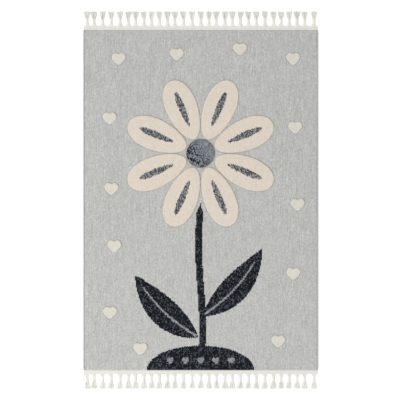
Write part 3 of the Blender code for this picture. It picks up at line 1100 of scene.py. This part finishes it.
def yarn_paths(plays, chance):
    """Every yarn's path in a row of tassels, as distances along the tape, out from it and up.

    A tassel's yarns leave the tape side by side, gather into an oval bundle that turns as it narrows
    to the neck, and then part into an even fan on the floor. The bundle's half width falls from the
    root by an exponential, narrows evenly to the neck, and grows again past it.
    """
    tassels = len(plays)
    shape = (tassels, YARNS_PER_TASSEL, 1)
    share = np.linspace(0.0, 1.0, YARN_STATIONS)[None, None, :]
    cut = chance.uniform(-YARN_CUT_PLAY, YARN_CUT_PLAY, shape)
    out = -YARN_ROOT_DEPTH + (TASSEL_LENGTH - cut + YARN_ROOT_DEPTH) * share
    to_neck = np.clip(out / NECK_OUT, 0.0, 1.0)
    past_neck = np.clip((out - NECK_OUT) / (TASSEL_LENGTH - NECK_OUT), 0.0, 1.0)
    order = np.linspace(-1.0, 1.0, YARNS_PER_TASSEL)[None, :, None]
    sign = np.where(np.arange(YARNS_PER_TASSEL) % 2 == 0, 1.0, -1.0)[None, :, None]
    angle = np.arctan2(sign * np.sqrt(1.0 - order ** 2), order)
    way = np.where(np.arange(tassels) % BUNDLE_OTHER_WAY_EVERY == 0, -1.0, 1.0)[:, None, None]
    play = 1.0 - BUNDLE_TURN_PLAY + 2.0 * BUNDLE_TURN_PLAY * chance.random((tassels, 1, 1))
    turn = way * BUNDLE_TURN * play * smooth_step(to_neck)
    in_core = np.arange(YARNS_PER_TASSEL) % BUNDLE_CORE_EVERY == 1
    layer = np.where(in_core, BUNDLE_CORE_SHARE, 1.0)[None, :, None]
    rooted = np.exp(-np.maximum(out, 0.0) / BUNDLE_ROOT_REACH)
    filled = rooted + (1.0 - rooted) * layer
    across = filled * np.cos(angle + turn)
    upward = filled * np.sin(angle + turn) * (1.0 - rooted)
    ranked = np.argsort(np.argsort(across[:, :, -1], axis=1), axis=1)
    even = (2.0 * ranked / (YARNS_PER_TASSEL - 1) - 1.0)[:, :, None]
    across = across + (even - across) * smooth_step(FAN_HASTE * past_neck)
    spread = plays[:, 2][:, None, None]
    half_width = (BUNDLE_NECK + BUNDLE_STALK * (1.0 - to_neck) + BUNDLE_ROOT * rooted
                  + (BUNDLE_TIP * spread - BUNDLE_NECK) * past_neck ** BUNDLE_SHOULDER_POWER)
    half_height = BUNDLE_HEIGHT * (1.0 - FAN_FLATTENING * past_neck)
    centre = plays[:, 0][:, None, None] + plays[:, 1][:, None, None] * past_neck
    stray = chance.normal(0.0, YARN_STRAY, shape) * past_neck ** 2
    radius = YARN_RADIUS + (YARN_TIP_RADIUS - YARN_RADIUS) * past_neck
    along = centre + half_width * across + stray
    height = radius + ROOT_LIFT * rooted + half_height * (1.0 + upward) * (1.0 - rooted)
    height += np.abs(chance.normal(0.0, TIP_LIFT_PLAY, shape)) * past_neck
    return along, np.broadcast_to(out, along.shape), height, radius


def swept(paths, radius, sides):
    """Rings square to many paths at once, each ring round a path point, counter-clockwise ahead."""
    ahead = np.gradient(paths, axis=1)
    ahead /= np.linalg.norm(ahead, axis=2, keepdims=True)
    beside = np.cross([0.0, 0.0, 1.0], ahead)
    beside /= np.linalg.norm(beside, axis=2, keepdims=True)
    above = np.cross(ahead, beside)
    angle = np.linspace(0.0, FULL_TURN, sides, endpoint=False)[None, None, :, None]
    ring = beside[:, :, None] * np.cos(angle) + above[:, :, None] * np.sin(angle)
    return paths[:, :, None] + radius[:, :, None, None] * ring


def make_tassels(node, name, side, material):
    """One end's tassels: each yarn a round tube carried along its path, closed at both ends."""
    low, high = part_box(node)
    root = (low.y if side > 0 else high.y) + side * TAPE_WIDTH
    chance = np.random.default_rng(TASSEL_SEED + (side > 0))
    along, out, height, radius = yarn_paths(tassel_plays(), chance)
    yarns = len(TASSEL_PLACES) * YARNS_PER_TASSEL
    paths = np.stack([along, root + side * out, height], axis=3).reshape(yarns, YARN_STATIONS, 3)
    rings = swept(paths, np.broadcast_to(radius, along.shape).reshape(yarns, YARN_STATIONS), YARN_SIDES)
    rings[..., 2] = np.maximum(rings[..., 2], 0.0)
    each = YARN_STATIONS * YARN_SIDES + 2
    tip = paths[:, -1] + TIP_DOME_SHARE * YARN_TIP_RADIUS * np.array([0.0, side, 0.0])
    points = np.concatenate([rings.reshape(yarns, -1, 3), paths[:, :1], tip[:, None]], axis=1)
    first = (np.arange(yarns) * each)[:, None, None]
    quads = (tube_quads(YARN_STATIONS, YARN_SIDES)[None] + first).reshape(-1, 4)
    fans = (end_fans(YARN_STATIONS, YARN_SIDES, each - 2, each - 1)[None] + first).reshape(-1, 3)
    uv, way = yarn_maps(yarns)
    per_yarn = linear(TASSEL_SHADE) * (1.0 + chance.normal(0.0, TASSEL_TONE_PLAY, yarns))[:, None]
    yarn = np.concatenate([np.repeat(per_yarn, bands * YARN_SIDES, axis=0)
                           for bands in (YARN_STATIONS - 1, 2)])
    return build_piece(name, node, "fringe_cotton", material, points.reshape(-1, 3), [quads, fans],
                       yarn=yarn, uv=uv, way=way)


def yarn_maps(yarns):
    """Corner places of all yarns: an even table of cells on the bake's map, and each yarn's own way."""
    station, step, fan_end, fan_step = tube_steps(YARN_STATIONS, YARN_SIDES)
    along = (station + np.array([0, 0, 1, 1])) / (YARN_STATIONS - 1)
    tube = np.stack([along, step / YARN_SIDES], axis=2)
    fan = np.stack([fan_end + np.array([0.0, 0.0, MAP_YARN_TIP]), fan_step / YARN_SIDES], axis=2)
    column = np.arange(yarns) // YARNS_PER_TASSEL
    row = np.arange(yarns) % YARNS_PER_TASSEL
    table = np.array([len(TASSEL_PLACES), YARNS_PER_TASSEL])
    cell = (np.stack([column, row], axis=1) / table)[:, None, None]
    size = MAP_CELL_FILL / table
    uv = np.concatenate([(cell + size * part).reshape(-1, 2) for part in (tube, fan)])
    way = np.concatenate([np.tile(part.reshape(-1, 2), (yarns, 1)) for part in (tube, fan)])
    return uv, way


# Floor, light and camera.


def make_floor():
    """A plain pale floor."""
    bpy.ops.mesh.primitive_plane_add(size=FLOOR_SIZE, location=(0.0, 0.0, -FLOOR_DROP))
    floor = bpy.context.object
    floor.name = "floor"
    material, tree, shader = new_material("pale_floor")
    feed_inputs(tree, shader, Base_Color=FLOOR_COLOUR, Roughness=0.9, Specular_IOR_Level=0.1)
    floor.data.materials.append(material)


def make_light():
    """Even studio light from all round, with a soft square key from the lower left."""
    world = bpy.data.worlds.new("studio")
    world.use_nodes = True
    feed_inputs(world.node_tree, world.node_tree.nodes["Background"], Color=(1.0, 1.0, 1.0, 1.0),
                Strength=SKY_STRENGTH)
    bpy.context.scene.world = world
    data = bpy.data.lights.new("key", "AREA")
    data.shape = "SQUARE"
    data.size = KEY_SIZE
    data.energy = KEY_POWER
    light = add_object("key", data)
    light.location = KEY_PLACE
    light.rotation_euler = (-light.location).to_track_quat("-Z", "Y").to_euler()


def make_camera():
    """Straight above the rug, its length up the picture, framed as the photo is."""
    data = bpy.data.cameras.new("camera")
    data.lens = CAMERA_LENS
    data.clip_end = CAMERA_REACH
    half_angle = math.atan(0.5 * data.sensor_width / data.lens)
    height = 0.5 * PHOTO_SPAN / math.tan(half_angle)
    camera = add_object("camera", data)
    camera.location = (*PHOTO_SHIFT, height + GROUND_TOP)
    bpy.context.scene.camera = camera
    bpy.context.scene.view_settings.view_transform = "Standard"


def make_rug():
    """Every piece of the rug."""
    # The groove shades are painted shade, darkest in the pile's deepest grooves.
    pile = pile_material("tufted_pile", fibre_spread=0.22, painted_groove_shade=0.74, sheen=0.05)
    soft_pile = pile_material("sheared_pile", fibre_spread=0.10, painted_groove_shade=0.86, sheen=0.12)
    cotton = yarn_material("cotton_yarn", twist=8.0, fibre_spread=0.05)
    overcast = yarn_material("overcast_yarn", twist=3.0, fibre_spread=0.08)
    lattice = make_lattice()
    ground_colour, streak = ground_colours(lattice)
    directions = math.pi / PETAL_COUNT + FULL_TURN * np.arange(PETAL_COUNT) / PETAL_COUNT
    motifs = [
        (f"petal_pile_{number}", petal_outline(direction), petal_colours(direction), "cream_pile")
        for number, direction in enumerate(directions, start=1)
    ]
    disc = egg_outline(0.0, DISC_RADIUS, DISC_RADIUS)
    motifs.append(("disc_pile", disc, disc_colours, "blue_grey_pile"))
    motifs += [
        (f"heart_pile_{number}", heart_outline(centre, HEART_SIZE), heart_colours, "cream_pile")
        for number, centre in enumerate(HEART_CENTRES, start=1)
    ]
    on_cloth = make_ground(lattice, [motif[1] for motif in motifs], ground_colour, pile)
    on_cloth += [make_motif(*motif, lattice, streak, soft_pile) for motif in motifs]
    for name in ("serged_edge_left", "serged_edge_right"):
        on_cloth.append(make_serging(name, overcast))
    for node, end, side in (("fringe_head_end", "head", 1.0), ("fringe_foot_end", "foot", -1.0)):
        on_cloth.append(make_tape(node, f"tape_{end}_end", side, cotton))
        on_cloth.append(make_tassels(node, f"tassels_{end}_end", side, cotton))
    backing = make_backing(backing_material())


make_camera()
make_light()
make_floor()
make_rug()
